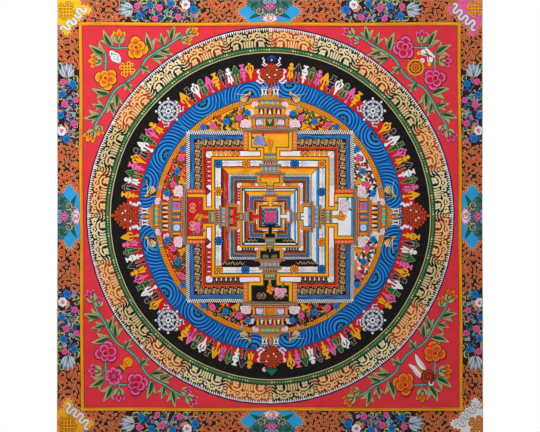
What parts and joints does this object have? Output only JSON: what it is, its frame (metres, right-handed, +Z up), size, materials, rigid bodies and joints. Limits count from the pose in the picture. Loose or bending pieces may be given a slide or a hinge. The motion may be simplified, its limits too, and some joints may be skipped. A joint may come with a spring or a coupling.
{
  "type": "thangka scroll painting, an unmounted painted canvas",
  "caption": "Near-square hanging sheet of primed cotton painted with a round palace diagram inside a floral border, held by its top edge.",
  "frame": {"origin": "middle of the sheet's top edge, half way through its thickness", "axes": "+X across the sheet to the viewer's right, +Z up the sheet, -Y out of the painted face towards the viewer"},
  "size_m": [0.5006, 0.0071, 0.5112],
  "materials": {
    "painted_cotton": "matte mineral paint on primed cotton"
  },
  "bodies": {
    "root": {"painted_canvas": "painted_cotton"}
  },
  "joints": []
}
